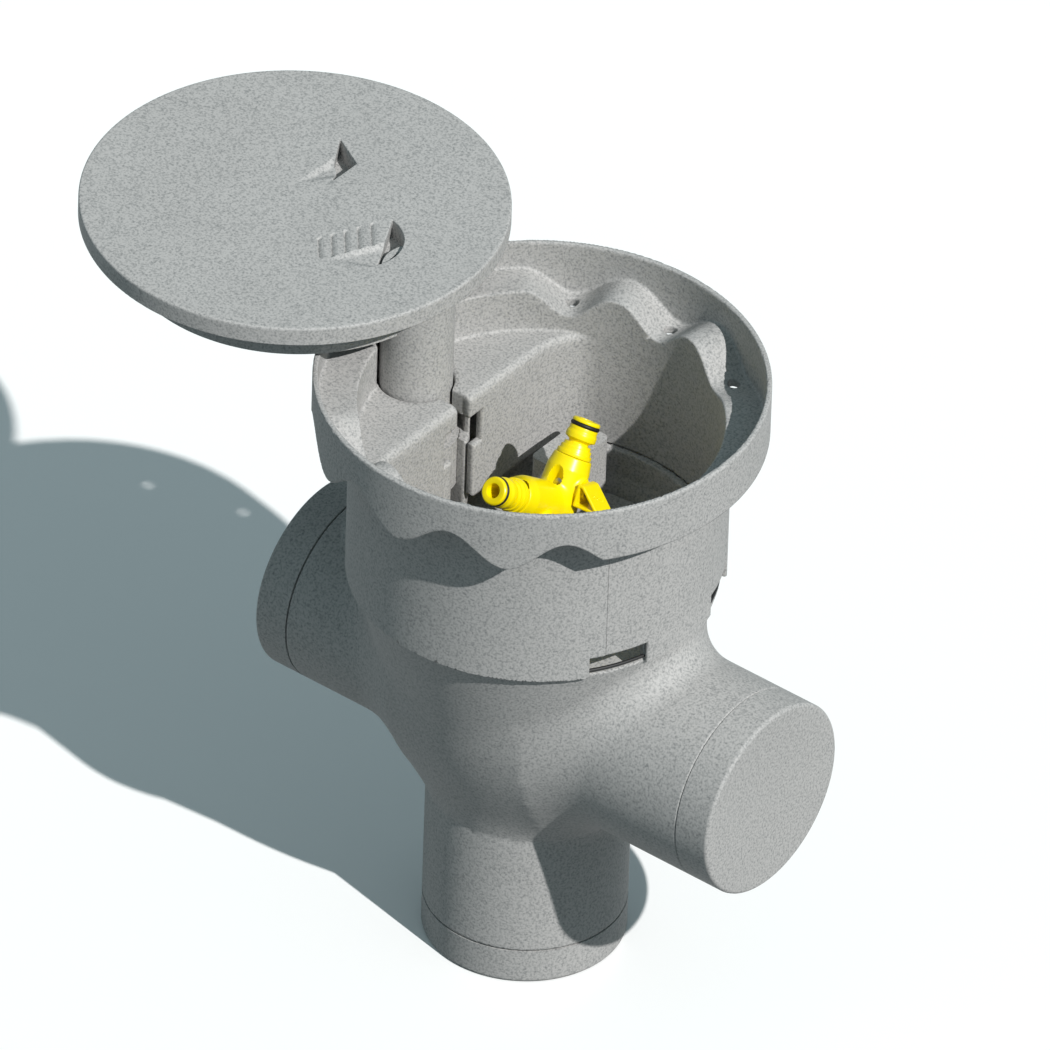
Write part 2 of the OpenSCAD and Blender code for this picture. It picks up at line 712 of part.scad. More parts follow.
module nipple_a() color(YELLOW) in_a() nipple(length_a, ball_at_a);
module nipple_b() color(YELLOW) in_b() nipple(length_b, ball_at_b);
module o_ring_a() color(BLACK) in_a() nipple_o_ring(length_a);
module o_ring_b() color(BLACK) in_b() nipple_o_ring(length_b);
module ball_a() color(STEEL) spindle_a() rotate([0, lever_rest_a, 0]) ball();
module ball_b() color(STEEL) spindle_b() ball();
module seats_a() color(WHITE) spindle_a() seats();
module seats_b() color(WHITE) spindle_b() seats();
module stem_a() color(BRASS) spindle_a() rotate([0, lever_rest_a, 0]) stem();
module stem_b() color(BRASS) spindle_b() stem();
module stem_seal_a() color(BLACK) spindle_a() stem_seal();
module stem_seal_b() color(BLACK) spindle_b() stem_seal();
module lever_a() color(YELLOW) spindle_a() rotate([0, lever_rest_a, 0]) lever();
module lever_b() color(YELLOW) spindle_b() lever();
module lever_screw_a() color(STEEL) spindle_a() rotate([0, lever_rest_a, 0]) lever_screw();
module lever_screw_b() color(STEEL) spindle_b() lever_screw();

// Pipe coupling under the plate
coupling_af = 30;
module supply_coupling() color(BLACK) translate([valve_x, 0, 0]) difference() {
    union() {
        translate([0, 0, coupling_neck - 6]) hex_bar(coupling_af, coupling_top - coupling_neck + 6);
        translate([0, 0, socket_z]) cylinder(r = coupling_r, h = socket_top - socket_z + 3);
    }
    translate([0, 0, coupling_neck]) cylinder(r = inlet_r + 0.05, h = coupling_top);
    translate([0, 0, socket_z - 1]) cylinder(r = way_r * 2, h = coupling_neck - socket_z + 2);
    translate([0, 0, socket_z - 1]) cylinder(r = supply_r + 0.1, h = socket_top - socket_z + 1);
    translate([0, 0, socket_z - 1]) cylinder(r = supply_r + 2.6, h = 5);
}

module pipe_seal() color(BLACK) translate([valve_x, 0, 0]) o_ring(supply_r + 1.35, 1.15, socket_z + 2.4);

module grip_ring() color(WHITE) translate([valve_x, 0, 0]) difference() {
    ring(supply_r + 3, supply_r + 0.2, socket_z - 12, socket_z - fit_gap);
    translate([0, -1, socket_z - 13]) cube([supply_r + 5, 2, 14]);
}

module clamp_nut() color(BLACK) translate([valve_x, 0, 0]) difference() {
    union() {
        translate([0, 0, socket_z - 16]) cylinder(r = coupling_r + 5, h = 26);
        for (i = [0:11]) rotate(15 + i * 30) translate([coupling_r + 4.6, 0, socket_z - 15])
            cylinder(r = 1.6, h = 24, $fn = 24);
    }
    translate([0, 0, socket_z - 17]) cylinder(r = supply_r + 0.6, h = 30);
    translate([0, 0, socket_z - 12 - fit_gap]) cylinder(r = supply_r + 3.1, h = 30);
    translate([0, 0, socket_z - fit_gap]) cylinder(r = coupling_r + 0.05, h = 30);
}

// Lid in its parked place, raised and swung over the left stub
module at_lid() translate([lid_x, 0, 0]) children();

// Grip pockets: a ramp in its own frame, and its deep end
grip_a_at = [38, -23];
grip_a_turn = 65;
grip_a_len = 30;
grip_b_at = [-7, 11];
grip_b_turn = 88;
grip_b_len = 26;
grip_pads = [[50, -2], [-6, 33]];
grip_pad_r = 25;
module grip_ramp(len, w) {
    translate([0, w / 2, lid_top]) rotate([90, 0, 0]) linear_extrude(w)
        polygon([[0, 1], [0, 0], [len, -grip_depth], [len + 8, -grip_depth], [len + 8, 1]]);
}
module grip_a_cut() {
    translate([grip_a_at.x, grip_a_at.y, 0]) rotate(grip_a_turn) difference() {
        union() {
            grip_ramp(grip_a_len, grip_w);
            translate([grip_a_len + 4, -4, lid_top - grip_depth]) cylinder(r = 12, h = grip_depth + 1);
        }
        for (i = [0:grip_ribs - 1]) translate([4 + i * (grip_a_len - 8) / grip_ribs, -grip_w / 2, lid_top - grip_depth - 1])
            cube([1.8, grip_w, grip_depth - 0.2]);
    }
}
module grip_b_cut() {
    translate([grip_b_at.x, grip_b_at.y, 0]) rotate(grip_b_turn) union() {
        grip_ramp(grip_b_len, 13);
        translate([grip_b_len + 4, 2, lid_top - grip_depth]) cylinder(r = 9.5, h = grip_depth + 1);
    }
}

lid_screw_a0 = 180 / lid_screw_n;
module at_lid_screws() at_lid() for (i = [0:lid_screw_n - 1]) rotate(lid_screw_a0 + i * 360 / lid_screw_n)
    translate([lid_screw_r, 0, 0]) children();

module lid_cover() color(GREY) difference() {
    union() {
        at_lid() difference() {
            translate([0, 0, cover_z]) cylinder(r = lid_r, h = cover_h);
            translate([0, 0, cover_z - 1]) cylinder(r = lid_r - lid_wall, h = cover_h - lid_wall + 1);
        }
        for (p = grip_pads) at_lid() translate([p.x, p.y, cover_z]) cylinder(r = grip_pad_r, h = cover_h - 1);
        at_lid_screws() translate([0, 0, lid_under + lid_floor]) cylinder(r = 5, h = lid_h - lid_floor - 1);
        at_post() translate([0, 0, cover_in - spigot_len]) cylinder(r = spigot_r, h = spigot_len + 1);
    }
    at_lid() grip_a_cut();
    at_lid() grip_b_cut();
    at_post() ring(post_r + fit_gap, spigot_r, cover_z - 1, cover_in);
    at_lid_screws() translate([0, 0, lid_under]) cylinder(r = screw_hole, h = lid_floor + 8, $fn = 32);
    at_post_screws() translate([0, 0, -post_screw_len - 2.5]) cylinder(r = screw_hole, h = 12, $fn = 32);
}

// Lower shell of the lid, with a collar that is open at the post
module lid_base() color(GREY) difference() {
    union() {
        at_lid() difference() {
            translate([0, 0, lid_under]) cylinder(r = base_r, h = cover_in - lid_under);
            translate([0, 0, lid_under + lid_floor]) cylinder(r = base_r - lid_wall + 0.2, h = lid_h);
        }
        difference() {
            at_lid() ring(lid_collar_r, lid_collar_r - lid_collar_wall, lid_collar_z, lid_under + 1);
            at_post() translate([0, 0, lid_collar_z - 1])
                cylinder(r = post_r + lid_collar_post_gap, h = lid_h + drop);
        }
    }
    at_post() translate([0, 0, lid_under - 1]) cylinder(r = post_r + fit_gap, h = lid_h);
    at_lid_screws() translate([0, 0, lid_under - 1]) cylinder(r = screw_r + fit_gap, h = lid_h, $fn = 32);
    at_lid_screws() translate([0, 0, lid_under - 1]) cylinder(r = 3.4, h = 3, $fn = 48);
}

module lid_screws() color(STEEL) at_lid_screws() translate([0, 0, lid_under + 2])
    mirror([0, 0, 1]) pan_screw(9, 3, 1.8);

// Radial screws that hold the post on the cover's spigot
post_screw_z = lid_under + lid_floor + 4.5;
post_screw_len = 8;
module at_post_screws() at_post() for (a = [60, 180, 300]) rotate(a)
    translate([post_r, 0, post_screw_z]) rotate([0, 90, 0]) children();

module lid_post() color(GREY) difference() {
    at_post() ring(post_r, post_r - post_wall, post_z, post_top);
    at_post_screws() translate([0, 0, -8]) cylinder(r = screw_r + fit_gap, h = 12, $fn = 32);
    at_post_screws() translate([0, 0, -1.9]) cylinder(r = 3.2, h = 6, $fn = 48);
    at_post() translate([-post_r, 0, groove_z + lug_h / 2]) rotate([0, 90, 0])
        translate([0, 0, -1]) cylinder(r = lug_pin_r + 0.05, h = post_wall + 2, $fn = 48);
}

module post_screws() color(STEEL) at_post_screws() translate([0, 0, -1.9]) pan_screw(post_screw_len, 2.9, 1.6);

// The lug points away from the bowl's axis while the lid is parked
module post_lug() color(GREY) at_post() difference() {
    union() {
        intersection() {
            translate([-lug_reach, -lug_w / 2, groove_z]) cube([lug_reach - post_r + 3, lug_w, lug_h]);
            cylinder(r = lug_reach, h = rim_z);
        }
        translate([-post_r - 1, 0, groove_z + lug_h / 2]) rotate([0, 90, 0]) cylinder(r = lug_pin_r, h = post_wall + 1, $fn = 48);
    }
    difference() {
        cylinder(r = post_r + 0.05, h = rim_z);
        translate([-post_r - 1, 0, groove_z + lug_h / 2]) rotate([0, 90, 0]) cylinder(r = lug_pin_r, h = post_wall + 1, $fn = 48);
    }
}

module foot_plug() color(BLACK) at_post() {
    translate([0, 0, foot_z]) cylinder(r = post_r - 0.2, h = foot_t);
    translate([0, 0, foot_z + foot_t - eps]) cylinder(r = post_r - post_wall - fit_gap / 2, h = 10);
}

module guide_bush() color(GREY) at_post() difference() {
    ring(bush_r, post_r + run_gap, bush_z + fit_gap, bush_top);
    translate([-bush_r - 1, -lug_w / 2 - free_gap, bush_z - 1]) cube([bush_r, lug_w + 2 * free_gap, bush_h + 2]);
}

lower_body();
upper_shell();
end_cap_right();
end_cap_left();
end_cap_bottom();
cap_seal_right();
cap_seal_left();
cap_seal_bottom();
shell_seal();
floor_plate();
plate_screws();
valve_body();
flange_gasket();
lock_nut();
nipple_a();
nipple_b();
o_ring_a();
o_ring_b();
ball_a();
ball_b();
seats_a();
seats_b();
stem_a();
stem_b();
stem_seal_a();
stem_seal_b();
lever_a();
lever_b();
lever_screw_a();
lever_screw_b();
supply_coupling();
clamp_nut();
grip_ring();
pipe_seal();
lid_cover();
lid_base();
lid_post();
post_lug();
foot_plug();
lid_screws();
post_screws();
guide_bush();
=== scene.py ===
import bpy
import bmesh
import json
import math
import numpy as np
import openvdb as vdb
from mathutils import Matrix, Vector


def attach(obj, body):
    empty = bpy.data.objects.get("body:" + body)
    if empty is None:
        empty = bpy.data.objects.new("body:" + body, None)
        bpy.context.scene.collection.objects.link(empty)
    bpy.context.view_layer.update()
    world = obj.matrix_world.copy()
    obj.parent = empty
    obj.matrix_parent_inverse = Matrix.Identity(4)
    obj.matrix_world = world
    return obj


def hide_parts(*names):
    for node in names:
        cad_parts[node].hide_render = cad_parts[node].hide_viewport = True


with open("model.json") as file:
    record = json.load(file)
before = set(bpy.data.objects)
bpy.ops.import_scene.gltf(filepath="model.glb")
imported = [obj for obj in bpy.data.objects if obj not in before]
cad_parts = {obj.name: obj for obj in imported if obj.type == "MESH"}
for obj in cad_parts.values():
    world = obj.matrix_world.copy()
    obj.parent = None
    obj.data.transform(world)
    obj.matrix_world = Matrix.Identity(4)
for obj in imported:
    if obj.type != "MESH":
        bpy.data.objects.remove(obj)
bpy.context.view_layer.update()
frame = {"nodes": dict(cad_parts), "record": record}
NODES = frame["nodes"]
MM = 0.001

# ---------------------------------------------------------------- shared sizes, in millimetres
POST_X = -84.4                         # axis of the lid's post
LID_X = -168.8                         # middle of the parked lid
SLEEVE_R = 29.5                        # outer radius of the sleeve round the post
SKIRT_FOOT = 237                       # lower edge of the bowl's skirt
NOTCH_TOP = 250                        # top of the four notches beside the through pipe
NOTCH_FROM, NOTCH_TO = 0.2723, 0.6109  # a notch's sides, as angles from the through pipe
LEG_X = 10.8                           # axis of the coupling's leg
VERTEX_Z = 283                         # where the coupling's branches meet


# ---------------------------------------------------------------- camera
def make_camera():
    """Long lens on the photograph's line of sight."""
    right = Vector((0.77832, 0.62730, 0.02660))
    up = Vector((-0.39704, 0.45891, 0.79483))
    back = right.cross(up).normalized()
    aim = Vector((13.237, -27.749, 286.703)) * MM
    distance, width_seen, sensor = 16.0, 0.5529, 36.0
    data = bpy.data.cameras.new("camera")
    cam = bpy.data.objects.new("camera", data)
    bpy.context.collection.objects.link(cam)
    data.sensor_width = sensor
    data.lens = sensor * distance / width_seen
    data.clip_start, data.clip_end = 1.0, 60.0
    m = Matrix((right, up, back)).transposed().to_4x4()
    m.translation = aim + back * distance
    cam.matrix_world = m
    bpy.context.scene.camera = cam


# ---------------------------------------------------------------- light and floor
def make_sky(colour, strength):
    """Even light from all round."""
    world = bpy.data.worlds.new("studio")
    bpy.context.scene.world = world
    world.use_nodes = True
    set_inputs(world.node_tree.nodes["Background"], {"Color": (*colour, 1), "Strength": strength})


def make_sun(towards, energy, angle, colour):
    """Sun in the direction towards, which throws the hard shadows."""
    sun = bpy.data.lights.new("key", "SUN")
    sun.energy = energy
    sun.angle = angle
    sun.color = colour
    key = bpy.data.objects.new("key", sun)
    bpy.context.collection.objects.link(key)
    key.rotation_mode = "QUATERNION"
    key.rotation_quaternion = towards.to_track_quat("Z", "Y")
    key.location = towards * 3


def make_floor(half):
    """Square floor with sides of twice half, in metres."""
    mesh = bpy.data.meshes.new("floor")
    corners = [(-half, -half, 0), (half, -half, 0), (half, half, 0), (-half, half, 0)]
    mesh.from_pydata(corners, [], [(0, 1, 2, 3)])
    floor = bpy.data.objects.new("floor", mesh)
    bpy.context.collection.objects.link(floor)
    mesh.materials.append(floor_material())


# ---------------------------------------------------------------- materials
def new_material(name):
    """A material, its node tree and its main shader."""
    m = bpy.data.materials.new(name)
    m.use_nodes = True
    nt = m.node_tree
    return m, nt, nt.nodes["Principled BSDF"]


def link(nt, a, b):
    """Join output a to input b."""
    nt.links.new(a, b)


def set_inputs(node, values):
    """Set a node's inputs by their names."""
    for name, value in values.items():
        node.inputs[name].default_value = value


def add_noise(nt, coords, values):
    """Noise in the piece's own coordinates."""
    noise = nt.nodes.new("ShaderNodeTexNoise")
    set_inputs(noise, values)
    link(nt, coords.outputs["Object"], noise.inputs["Vector"])
    return noise


def add_mix(nt, blend="MIX"):
    """Mix of two colours."""
    mix = nt.nodes.new("ShaderNodeMix")
    mix.data_type = "RGBA"
    mix.blend_type = blend
    return mix


def add_range(nt, fac, values):
    """The output fac mapped to another range."""
    node = nt.nodes.new("ShaderNodeMapRange")
    set_inputs(node, values)
    link(nt, fac, node.inputs["Value"])
    return node


def add_bump(nt, height, bsdf, strength, distance):
    """Bumps of the output height on the shader bsdf."""
    bump = nt.nodes.new("ShaderNodeBump")
    set_inputs(bump, {"Strength": strength, "Distance": distance})
    link(nt, height, bump.inputs["Height"])
    link(nt, bump.outputs["Normal"], bsdf.inputs["Normal"])


def floor_material():
    """Pale to the eye and in reflections, and dark to the light that falls back on the object."""
    m, nt, bsdf = new_material("pale_floor")
    bsdf.inputs["Roughness"].default_value = 0.9
    ray = nt.nodes.new("ShaderNodeLightPath")
    seen = nt.nodes.new("ShaderNodeMath")
    seen.operation = "MAXIMUM"
    link(nt, ray.outputs["Is Camera Ray"], seen.inputs[0])
    link(nt, ray.outputs["Is Glossy Ray"], seen.inputs[1])
    mix = add_mix(nt)
    set_inputs(mix, {"A": (0.055, 0.065, 0.068, 1), "B": (0.97, 0.97, 0.97, 1)})
    link(nt, seen.outputs["Value"], mix.inputs["Factor"])
    link(nt, mix.outputs["Result"], bsdf.inputs["Base Color"])
    return m


def grain_group():
    """Colour and height of granite plastic: fine grains of two colours, under a broad change of tone."""
    g = bpy.data.node_groups.new("granite_grain", "ShaderNodeTree")
    for name, kind in (("Light", "Color"), ("Dark", "Color"), ("Size", "Float")):
        g.interface.new_socket(name, in_out="INPUT", socket_type="NodeSocket" + kind)
    for name, kind in (("Color", "Color"), ("Height", "Float")):
        g.interface.new_socket(name, in_out="OUTPUT", socket_type="NodeSocket" + kind)
    given, result = g.nodes.new("NodeGroupInput"), g.nodes.new("NodeGroupOutput")
    coords = g.nodes.new("ShaderNodeTexCoord")
    fine = add_noise(g, coords, {"Detail": 3.0, "Roughness": 0.62})
    link(g, given.outputs["Size"], fine.inputs["Scale"])
    grains = add_range(g, fine.outputs["Fac"], {"From Min": 0.3, "From Max": 0.56})
    broad = add_noise(g, coords, {"Scale": 22.0, "Detail": 2.0})
    mix = add_mix(g)
    link(g, grains.outputs["Result"], mix.inputs["Factor"])
    link(g, given.outputs["Dark"], mix.inputs["A"])
    link(g, given.outputs["Light"], mix.inputs["B"])
    tone = add_range(g, broad.outputs["Fac"], {"To Min": 0.93, "To Max": 1.05})
    toned = add_mix(g, "MULTIPLY")
    toned.inputs["Factor"].default_value = 1.0
    link(g, mix.outputs["Result"], toned.inputs["A"])
    link(g, tone.outputs["Result"], toned.inputs["B"])
    link(g, toned.outputs["Result"], result.inputs["Color"])
    link(g, fine.outputs["Fac"], result.inputs["Height"])
    return g


def granite(name, light, dark, size):
    """Granite plastic with light and dark grains, which are finer where size is larger."""
    m, nt, bsdf = new_material(name)
    grain = nt.nodes.new("ShaderNodeGroup")
    grain.node_tree = GRAIN
    set_inputs(grain, {"Light": (*light, 1), "Dark": (*dark, 1), "Size": size})
    link(nt, grain.outputs["Color"], bsdf.inputs["Base Color"])
    add_bump(nt, grain.outputs["Height"], bsdf, 0.3, 0.0004)
    set_inputs(bsdf, {"Roughness": 0.62, "Specular IOR Level": 0.35})
    return m


def moulded(name, colour, rough, shade=0.9, scale=60.0, bump=0.05):
    """Smooth moulded plastic or rubber with a slight change of tone and a faint skin."""
    m, nt, bsdf = new_material(name)
    coords = nt.nodes.new("ShaderNodeTexCoord")
    tone = add_noise(nt, coords, {"Scale": scale, "Detail": 3.0})
    mix = add_mix(nt)
    set_inputs(mix, {"A": (*[c * shade for c in colour], 1), "B": (*colour, 1)})
    link(nt, tone.outputs["Fac"], mix.inputs["Factor"])
    link(nt, mix.outputs["Result"], bsdf.inputs["Base Color"])
    skin = add_noise(nt, coords, {"Scale": scale * 12})
    add_bump(nt, skin.outputs["Fac"], bsdf, bump, 0.0003)
    bsdf.inputs["Roughness"].default_value = rough
    return m


def metal(name, colour, rough):
    """Metal with fine changes of tone."""
    m = moulded(name, colour, rough, 0.8, 300.0, 0.08)
    m.node_tree.nodes["Principled BSDF"].inputs["Metallic"].default_value = 1.0
    return m


GRAIN = grain_group()
MATS = {
    "grey_plastic": granite("granite_grey", (0.472, 0.466, 0.458), (0.235, 0.24, 0.24), 760.0),
    "yellow_plastic": moulded("yellow_gloss", (1.0, 0.8, 0.0), 0.32, 0.96),
    "black_rubber": moulded("black_rubber", (0.012, 0.012, 0.013), 0.55),
    "black_plastic": moulded("black_plastic", (0.03, 0.03, 0.032), 0.4),
    "steel": metal("steel", (0.6, 0.6, 0.62), 0.35),
    "brass": metal("brass", (0.75, 0.55, 0.25), 0.35),
    "white_plastic": moulded("white_plastic", (0.8, 0.8, 0.76), 0.4),
}
SLOT = {s["node"]: s["material_slot"] for s in frame["record"]["subparts"]}
for name, obj in NODES.items():
    obj.data.materials.clear()
    obj.data.materials.append(MATS[SLOT[name]])


# ---------------------------------------------------------------- fields: signed distances in millimetres
def join(a, b, r):
    """Union of two fields with a round fillet."""
    return np.maximum(r, np.minimum(a, b)) - np.hypot(np.maximum(r - a, 0), np.maximum(r - b, 0))


def meet(a, b, r):
    """Intersection of two fields with a round edge."""
    return np.minimum(-r, np.maximum(a, b)) + np.hypot(np.maximum(r + a, 0), np.maximum(r + b, 0))


def most(*fields):
    """Intersection of fields with sharp edges."""
    out = fields[0]
    for f in fields[1:]:
        out = np.maximum(out, f)
    return out


def least(*fields):
    """Union of fields with sharp corners."""
    out = fields[0]
    for f in fields[1:]:
        out = np.minimum(out, f)
    return out


def band(low, value, high):
    """The layer in which value lies between low and high."""
    return np.maximum(low - value, value - high)


def ball(point, centre, radius):
    """A ball."""
    return np.sqrt(sum((p - c) ** 2 for p, c in zip(point, centre))) - radius


def rods(u, v, *circles):
    """Upright round rods, each given by its middle and its radius."""
    return least(*(np.hypot(u - cu, v - cv) - radius for cu, cv, radius in circles))


def beyond(u, v, point, normal):
    """How far (u, v) lies past the line through point, along its normal."""
    return (u - point[0]) * normal[0] + (v - point[1]) * normal[1]


def ease(t):
    """Soft step from 0 to 1."""
    t = np.clip(t, 0, 1)
    return t * t * (3 - 2 * t)


def slope_at(field, p, h=0.05):
    """Gradient of field at the points p."""
    return np.stack([field(*(p + h * e).T) - field(*(p - h * e).T) for e in np.eye(3)], 1) / (2 * h)


def sampled(field, lo, n, step):
    """Grid of the field's values, cut off at three steps from the surface."""
    reach, slices = 3 * step, 24
    ax = [lo[i] + step * np.arange(n[i]) for i in range(3)]
    values = np.empty(n, np.float32)
    for k in range(0, n[0], slices):
        x, y, z = np.meshgrid(ax[0][k:k + slices], ax[1], ax[2], indexing="ij")
        values[k:k + slices] = np.clip(field(x, y, z), -reach, reach)
    grid = vdb.FloatGrid(reach)
    grid.copyFromArray(values)
    return grid


def solid_mesh(name, field, lo, hi, step, place=Matrix(), merge=0.0):
    """Closed mesh where field(x, y, z) crosses zero, moved by place.

    Its points are drawn onto the surface along the field's slope, which also gives the normals.
    Flat stretches get larger faces where merge is above 0.
    """
    lo = np.array(lo, float)
    n = np.ceil((np.array(hi, float) - lo) / step).astype(int) + 1
    pts, tris, quads = sampled(field, lo, n, step).convertToPolygons(0.0, merge)
    p = np.asarray(pts, float) * step + lo
    for _ in range(4):
        g = slope_at(field, p)
        move = (field(*p.T) / np.maximum((g * g).sum(1), 0.2))[:, None] * g
        size = np.linalg.norm(move, axis=1, keepdims=True)
        p -= move * np.minimum(1, 0.5 * step / np.maximum(size, 1e-9))
    faces = [np.asarray(f, int) for f in (tris, quads) if len(f)]
    across = [np.cross(p[f[:, 1]] - p[f[:, 0]], p[f[:, 2]] - p[f[:, 0]]) for f in faces]
    flip = sum((c * p[f[:, 0]]).sum() for c, f in zip(across, faces)) < 0
    faces = [q for f in faces for q in (f[:, ::-1] if flip else f).tolist()]
    turn = np.array(place.to_3x3())
    mesh = bpy.data.meshes.new(name)
    mesh.from_pydata(((p @ turn.T + np.array(place.translation)) * MM).tolist(), [], faces)
    mesh.shade_smooth()
    g = slope_at(field, p) @ turn.T
    g /= np.maximum(np.linalg.norm(g, axis=1, keepdims=True), 1e-9)
    mesh.normals_split_custom_set_from_vertices(g.tolist())
    obj = bpy.data.objects.new(name, mesh)
    bpy.context.collection.objects.link(obj)
    return obj


# ---------------------------------------------------------------- bowl
RIM_R, RIM_TOP = 121, 362     # outer radius and top of the rim band
GUTTER_R = 118                # inner radius of the rim band
SKIRT_R, BOWL_R = 101, 97     # outer and inner radius of the skirt
WAVES = 12                    # waves of the gutter round the bowl
CREST_Z = 345.5               # the gutter's crests
LOW_CREST_Z = 336             # its low crests over the right stub
VALLEY_Z = 330.5              # its valleys
STUB_EDGE_Z = 330             # lower edge of the rim band over the right stub
STUB_HALF = math.radians(30)  # half the angle of the level stretch of that edge
LEVEL_HALF = math.pi / 4      # half the angle of the gutter's level stretches
STUB_REACH = math.pi / 3      # half the angle in which the gutter is low
NO_DRAIN = 9.0                # a distance past every fillet, where the gutter has no drain


def crest_height(a):
    """Height of the gutter's crests at the angle a."""
    near_stub = LOW_CREST_Z + (CREST_Z - LOW_CREST_Z) * ease((-a - 0.2) / 0.5)
    return np.where(np.abs(a) < STUB_REACH, near_stub, CREST_Z)


def band_edge(a, wave):
    """Height of the rim band's lower edge: wavy, but level over the stub and lower at its far side."""
    turn = np.abs(a)
    edge = 333.5 - 8.5 * wave
    edge = np.where(turn < LEVEL_HALF, np.maximum(edge, STUB_EDGE_Z), edge)
    edge = np.where(turn < STUB_HALF, STUB_EDGE_Z, edge)
    low = 327.5 - 2.5 * np.where(turn > LEVEL_HALF, wave, -1)
    return np.where((a > STUB_HALF) & (a < STUB_REACH), np.minimum(edge, low), edge)


def guide_block(x, r, rho, z):
    """Hollow block beside the post, run into the bowl's wall with a wide fillet, and the sleeve below it."""
    face, top, foot, wall = -51, 320, 240, 5
    block = meet(-meet(r - BOWL_R - 2, face - x, 21), z - top, 4.5)
    block = most(block, -most(x - face + wall, z - top + wall), foot - z)
    return least(block, most(rho - SLEEVE_R, z - top))


def post_ways(x, y, rho, z):
    """Room for what turns and lifts with the post: round bores, and slots towards the bowl's middle."""
    bores = ((20.6, 304, 322), (26, 286, 306), (23.9, 255.8, 287), (20.3, 226, 257))
    slots = ((8.7, 229, 288), (15.4, 286, 306), (5, 304, 326))
    front = band(POST_X, x, -44)
    ways = [most(rho - radius, band(low, z, high)) for radius, low, high in bores]
    ways += [most(np.abs(y) - half, band(low, z, high), front) for half, low, high in slots]
    return least(*ways)


def drains(r, a):
    """A round hole in each wave of the gutter."""
    half = math.pi / WAVES
    fold = np.mod(a + half, 2 * half) - half
    return np.hypot(r * np.cos(fold) - 109.5, r * np.sin(fold)) - 3.5


def notches(r, a, z, reach):
    """Openings on both sides of the through pipe's ends, below NOTCH_TOP and outside the radius reach."""
    side = np.minimum(np.abs(a), math.pi - np.abs(a))
    return most((NOTCH_FROM - side) * r, (side - NOTCH_TO) * r, z - NOTCH_TOP, reach - r)


def shell_field(x, y, z):
    """The bowl: rim band, wavy gutter, skirt, guide block and sleeve."""
    r, a = np.hypot(x, y), np.arctan2(y, x)
    rho = np.hypot(x - POST_X, y)
    turn = np.abs(a)
    wave = np.cos(WAVES * a)
    steep = 0.85 * np.sin(WAVES * a)
    level = np.abs(turn - math.pi / 2) > LEVEL_HALF
    crest = crest_height(a)
    under = (band_edge(a, wave) - z) / np.sqrt(1 + np.where(turn < LEVEL_HALF, 0, steep) ** 2)
    top = crest - (crest - VALLEY_Z) * ((1 + wave) / 2) ** 1.2
    top = (np.where(level, crest, top) - z) / np.sqrt(1 + np.where(level, 0, steep) ** 2)
    hollow = most(SKIRT_R - 0.5 - r, r - GUTTER_R, z - crest + 3.5, (turn - STUB_HALF) * r)
    sleeve = rho - SLEEVE_R

    out = join(meet(r - RIM_R, under, 1.2), r - SKIRT_R, 2.5)
    out = most(out, -hollow, SKIRT_FOOT - z)
    out = join(out, most(sleeve, band(222, z, CREST_Z)), 2)
    out = meet(out, z - RIM_TOP, 0.7)

    void = join(r - BOWL_R, meet(r - GUTTER_R, top, 1.4), 1.1)
    void = meet(void, -guide_block(x, r, rho, z), 1.6)
    void = least(void, most(r - BOWL_R - 1, z - NOTCH_TOP - 2, -sleeve))
    void = join(void, post_ways(x, y, rho, z), 1.8)
    void = join(void, most(rho - 22, 320 - z), 1.2)
    void = join(void, np.where(level, NO_DRAIN, drains(r, a)), 0.6)
    void = join(void, notches(r, a, z, 94), 1)
    return meet(out, -void, 0.8)


# ---------------------------------------------------------------- base
PIPE_R, PIPE_Z = 55, 163  # outer radius of the pipes, and axis of the through pipe


def base_field(x, y, z):
    """The base: vertical pipe, cone and neck, with the through pipe blended in."""
    right_end, left_end, foot, top, neck_top, neck_r = 140.8, -123.8, 21.2, 251.7, 236.7, 97.7
    wall, bore_r, lean, flare_r = 4.7, 50.5, 1.04, 100
    r, a = np.hypot(x, y), np.arctan2(y, x)
    rho = np.hypot(x - POST_X, y)
    cone = PIPE_R + np.clip((z - 95) * 0.3007, 0, 42.7)
    flare = flare_r - np.sqrt(flare_r ** 2 - np.clip(82 - np.abs(x), 0, 37) ** 2)
    axis = np.hypot(y, z - PIPE_Z)

    out = meet(most((r - cone) / lean, z - top), foot - z, 1)
    pipe = meet(meet(axis - PIPE_R - flare, x - right_end, 1), left_end - x, 1)
    out = join(out, pipe, 20)
    out = join(out, most(rho - 33.7, band(214, z, neck_top)), 4)
    out = most(out, -most(neck_top - z, neck_r - r), -most(notches(r, a, z, 86), SKIRT_FOOT - z))

    inner = cone - wall - np.where((z > 217) & (z < 222), 8.0, 0.0)
    void = least((r - inner) / lean, axis - bore_r, most(rho - 29.7, 221.7 - z))
    return meet(out, -void, 0.8)


# ---------------------------------------------------------------- lid, with u and v from its middle
LID_TOP, LID_UNDER = 396.5, 385.5


def scoop(along, across, spread, reach):
    """Depth of the ramp before a finger hole: a short bank on one side and a fade on the other."""
    ramp = 2.6 * np.clip(along / reach, 0, 1)
    return ramp * ease((across + 1.8) / 3.4) * ease((spread * along + 1 - across) / 6)


def undercut(z):
    """How far a finger hole reaches under its lip at height z."""
    return 0.1 * np.clip(LID_TOP - 2.5 - z, 0, 9)


def grooves(along, across):
    """Depth of five slanting grooves, each deepest at one side."""
    pitch, width, depth = 7.7, 4.8, 2.4
    q = 28.9 - along - 0.4 * across
    gap = np.mod(-q, pitch)
    profile = ease(gap / 0.6) * np.clip(1 - gap / width, 0, 1) ** 2.2 * (q > -5) * (q < 32)
    return depth * profile * ease((across + 19.6) / 0.9) * ease((-1.4 - across) / 1.4)


